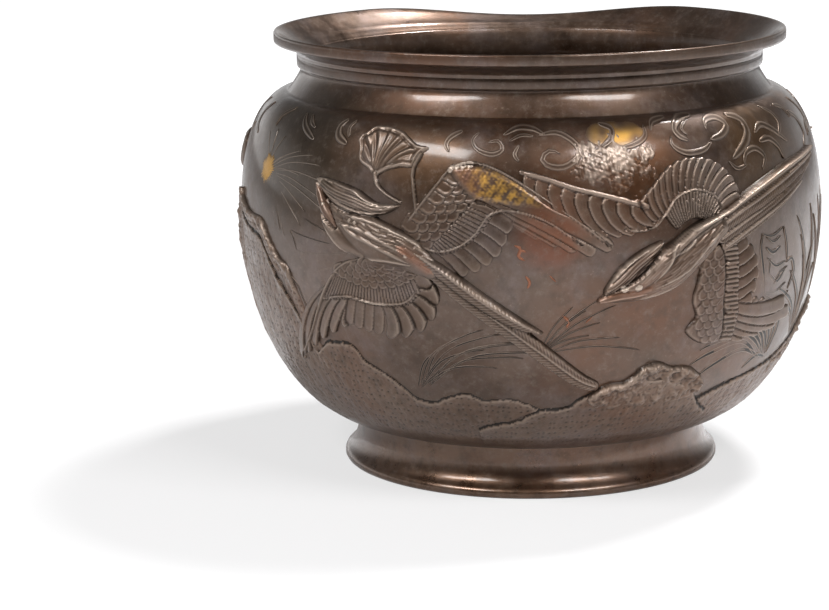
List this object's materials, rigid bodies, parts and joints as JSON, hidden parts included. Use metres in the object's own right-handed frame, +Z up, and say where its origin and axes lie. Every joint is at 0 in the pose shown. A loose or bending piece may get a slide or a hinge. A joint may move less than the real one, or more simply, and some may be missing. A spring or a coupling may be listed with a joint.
{
  "type": "bronze jardiniere",
  "caption": "Round-bellied patinated bronze pot with a flared lip, a turned foot ring and applied relief of pheasants, rocks and clouds.",
  "frame": {"origin": "centre of the foot ring's resting face", "axes": "+Z up through the mouth, -Y towards the front with the two pheasants"},
  "size_m": [0.2905, 0.2992, 0.2167],
  "materials": {
    "bronze_patina": "brown patina, waxed",
    "gilding": "worn gilding"
  },
  "bodies": {
    "root": {"body_shell": "bronze_patina", "foot_ring": "bronze_patina", "base_plate": "bronze_patina", "mouth_lip": "bronze_patina", "diving_pheasant_body": "bronze_patina", "diving_pheasant_tail": "bronze_patina", "diving_pheasant_raised_wing": "bronze_patina", "diving_pheasant_lowered_wing": "bronze_patina", "stooping_pheasant_body": "bronze_patina", "stooping_pheasant_tail": "bronze_patina", "stooping_pheasant_raised_wing": "bronze_patina", "stooping_pheasant_lowered_wing": "bronze_patina", "rear_diving_pheasant_body": "bronze_patina", "rear_diving_pheasant_tail": "bronze_patina", "rear_diving_pheasant_raised_wing": "bronze_patina", "rear_diving_pheasant_lowered_wing": "bronze_patina", "rear_stooping_pheasant_body": "bronze_patina", "rear_stooping_pheasant_tail": "bronze_patina", "rear_stooping_pheasant_raised_wing": "bronze_patina", "rear_stooping_pheasant_lowered_wing": "bronze_patina", "fan_leaf": "bronze_patina", "side_leaf": "bronze_patina", "left_rock": "bronze_patina", "middle_rock": "bronze_patina", "right_rock": "bronze_patina", "rear_rock": "bronze_patina", "gold_blossom": "gilding", "gold_cloud": "gilding"}
  },
  "joints": []
}
